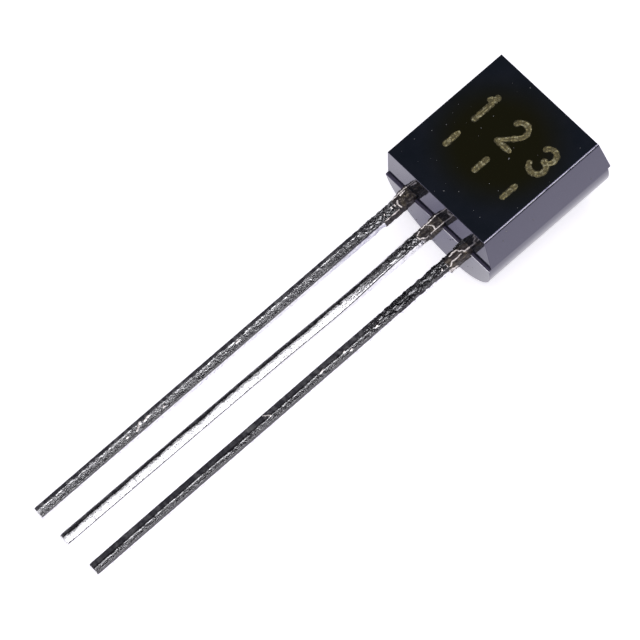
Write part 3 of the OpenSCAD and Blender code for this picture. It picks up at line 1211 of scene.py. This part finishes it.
def makeFloorLook():
    material, tree, place = startMaterial("studioFloor")
    rays = addNode(tree, "ShaderNodeLightPath").outputs
    seen = highest(rays["Is Camera Ray"], rays["Is Glossy Ray"], rays["Is Transmission Ray"])
    # the glow casts no shadow, so reflections of the nook between leads and body are shaded here
    away = vectorMath("DISTANCE", place, Vector(studio["nookCentre"]) * mm)
    shade = mapRange(away, 0.0, studio["nookReach"] * mm, 1.0, 0.0, smooth=True)
    shade = times(shade, rays["Is Glossy Ray"])
    shine = mixColours(shade, studio["glowColour"], studio["nookGlow"])
    glow = addNode(tree, "ShaderNodeEmission", Color=shine, Strength=times(seen, studio["floorGlow"]))
    diffuse = addNode(tree, "ShaderNodeBsdfDiffuse", Color=studio["floorColour"])
    closeBy = addNode(tree, "ShaderNodeAddShader", None, {0: diffuse, 1: glow})
    white = addNode(tree, "ShaderNodeEmission", Strength=1.0)
    middle = vectorMath("LENGTH", place)
    fade = mapRange(middle, studio["nearRadius"], studio["farRadius"], smooth=True)
    mixed = addNode(tree, "ShaderNodeMixShader", None, {0: times(seen, fade), 1: closeBy, 2: white})
    addNode(tree, "ShaderNodeOutputMaterial", Surface=mixed)
    return material


def makeFloor():
    half = studio["floorSize"] / 2
    corners = [(x * half, y * half, 0) for x, y in ((-1, -1), (1, -1), (1, 1), (-1, 1))]
    mesh = bpy.data.meshes.new("floor")
    mesh.from_pydata(corners, [], [(0, 1, 2, 3)])
    mesh.materials.append(makeFloorLook())
    floor = newObject("floor", mesh)


def makeWorld():
    # white up to the horizon, which lies lower at the sides, and dark above it
    world = bpy.data.worlds.new("studio")
    scene.world = world
    world.use_nodes = True
    tree = world.node_tree
    tree.nodes.clear()
    way = addNode(tree, "ShaderNodeTexCoord").outputs["Generated"]
    parts = addNode(tree, "ShaderNodeSeparateXYZ", Vector=way).outputs
    aside = calculate("ABSOLUTE", parts["X"])
    height = calculate("MULTIPLY_ADD", aside, studio["horizonLean"], parts["Z"])
    dark = mapRange(height, studio["horizonTop"], studio["darkFrom"], smooth=True)
    colour = mixColours(dark, studio["white"], studio["darkSky"])
    seen = addNode(tree, "ShaderNodeLightPath").outputs["Is Camera Ray"]
    shown = addNode(tree, "ShaderNodeBackground", Color=mixColours(seen, colour, studio["white"]))
    addNode(tree, "ShaderNodeOutputWorld", Surface=shown)


def makeSoftbox():
    way = Vector(studio["boxWay"]).normalized()
    lamp = bpy.data.lights.new("softbox", "AREA")
    lamp.shape = "SQUARE"
    lamp.size = studio["boxSize"]
    lamp.energy = studio["boxRadiance"] * math.pi * studio["boxSize"] ** 2
    softbox = newObject("softbox", lamp)
    softbox.location = way * studio["boxDistance"]
    softbox.rotation_euler = way.to_track_quat("Z", "Y").to_euler()


# Camera: a long lens, looking down on the marked flat from the right of the leads

cameraView = {
    "azimuth": 53.99,
    "elevation": 58.30,
    "roll": -5.29,
    "aim": (0.096, 0.058, 2.0),
    "distance": 200.0,
    "lens": 382.4,
    "sensor": 36.0,
    "clip": (0.01, 10.0),
}


def makeCamera():
    azimuth, elevation, roll = (math.radians(cameraView[key]) for key in ("azimuth", "elevation", "roll"))
    level = Vector((math.cos(azimuth), math.sin(azimuth), 0))
    outwards = Vector((math.sin(azimuth), -math.cos(azimuth), 0))
    back = outwards * math.cos(elevation) + Vector((0, 0, math.sin(elevation)))
    upright = back.cross(level)
    right = level * math.cos(roll) + upright * math.sin(roll)
    up = upright * math.cos(roll) - level * math.sin(roll)
    place = (Vector(cameraView["aim"]) + back * cameraView["distance"]) * mm
    data = bpy.data.cameras.new("camera")
    data.lens = cameraView["lens"]
    data.sensor_width = cameraView["sensor"]
    data.clip_start, data.clip_end = cameraView["clip"]
    camera = newObject("camera", data)
    camera.matrix_world = Matrix.Translation(place) @ Matrix((right, up, back)).transposed().to_4x4()
    scene.camera = camera


makeFloor()
makeWorld()
makeSoftbox()
makeCamera()
scene.view_settings.view_transform = "Standard"
print("studio ready")
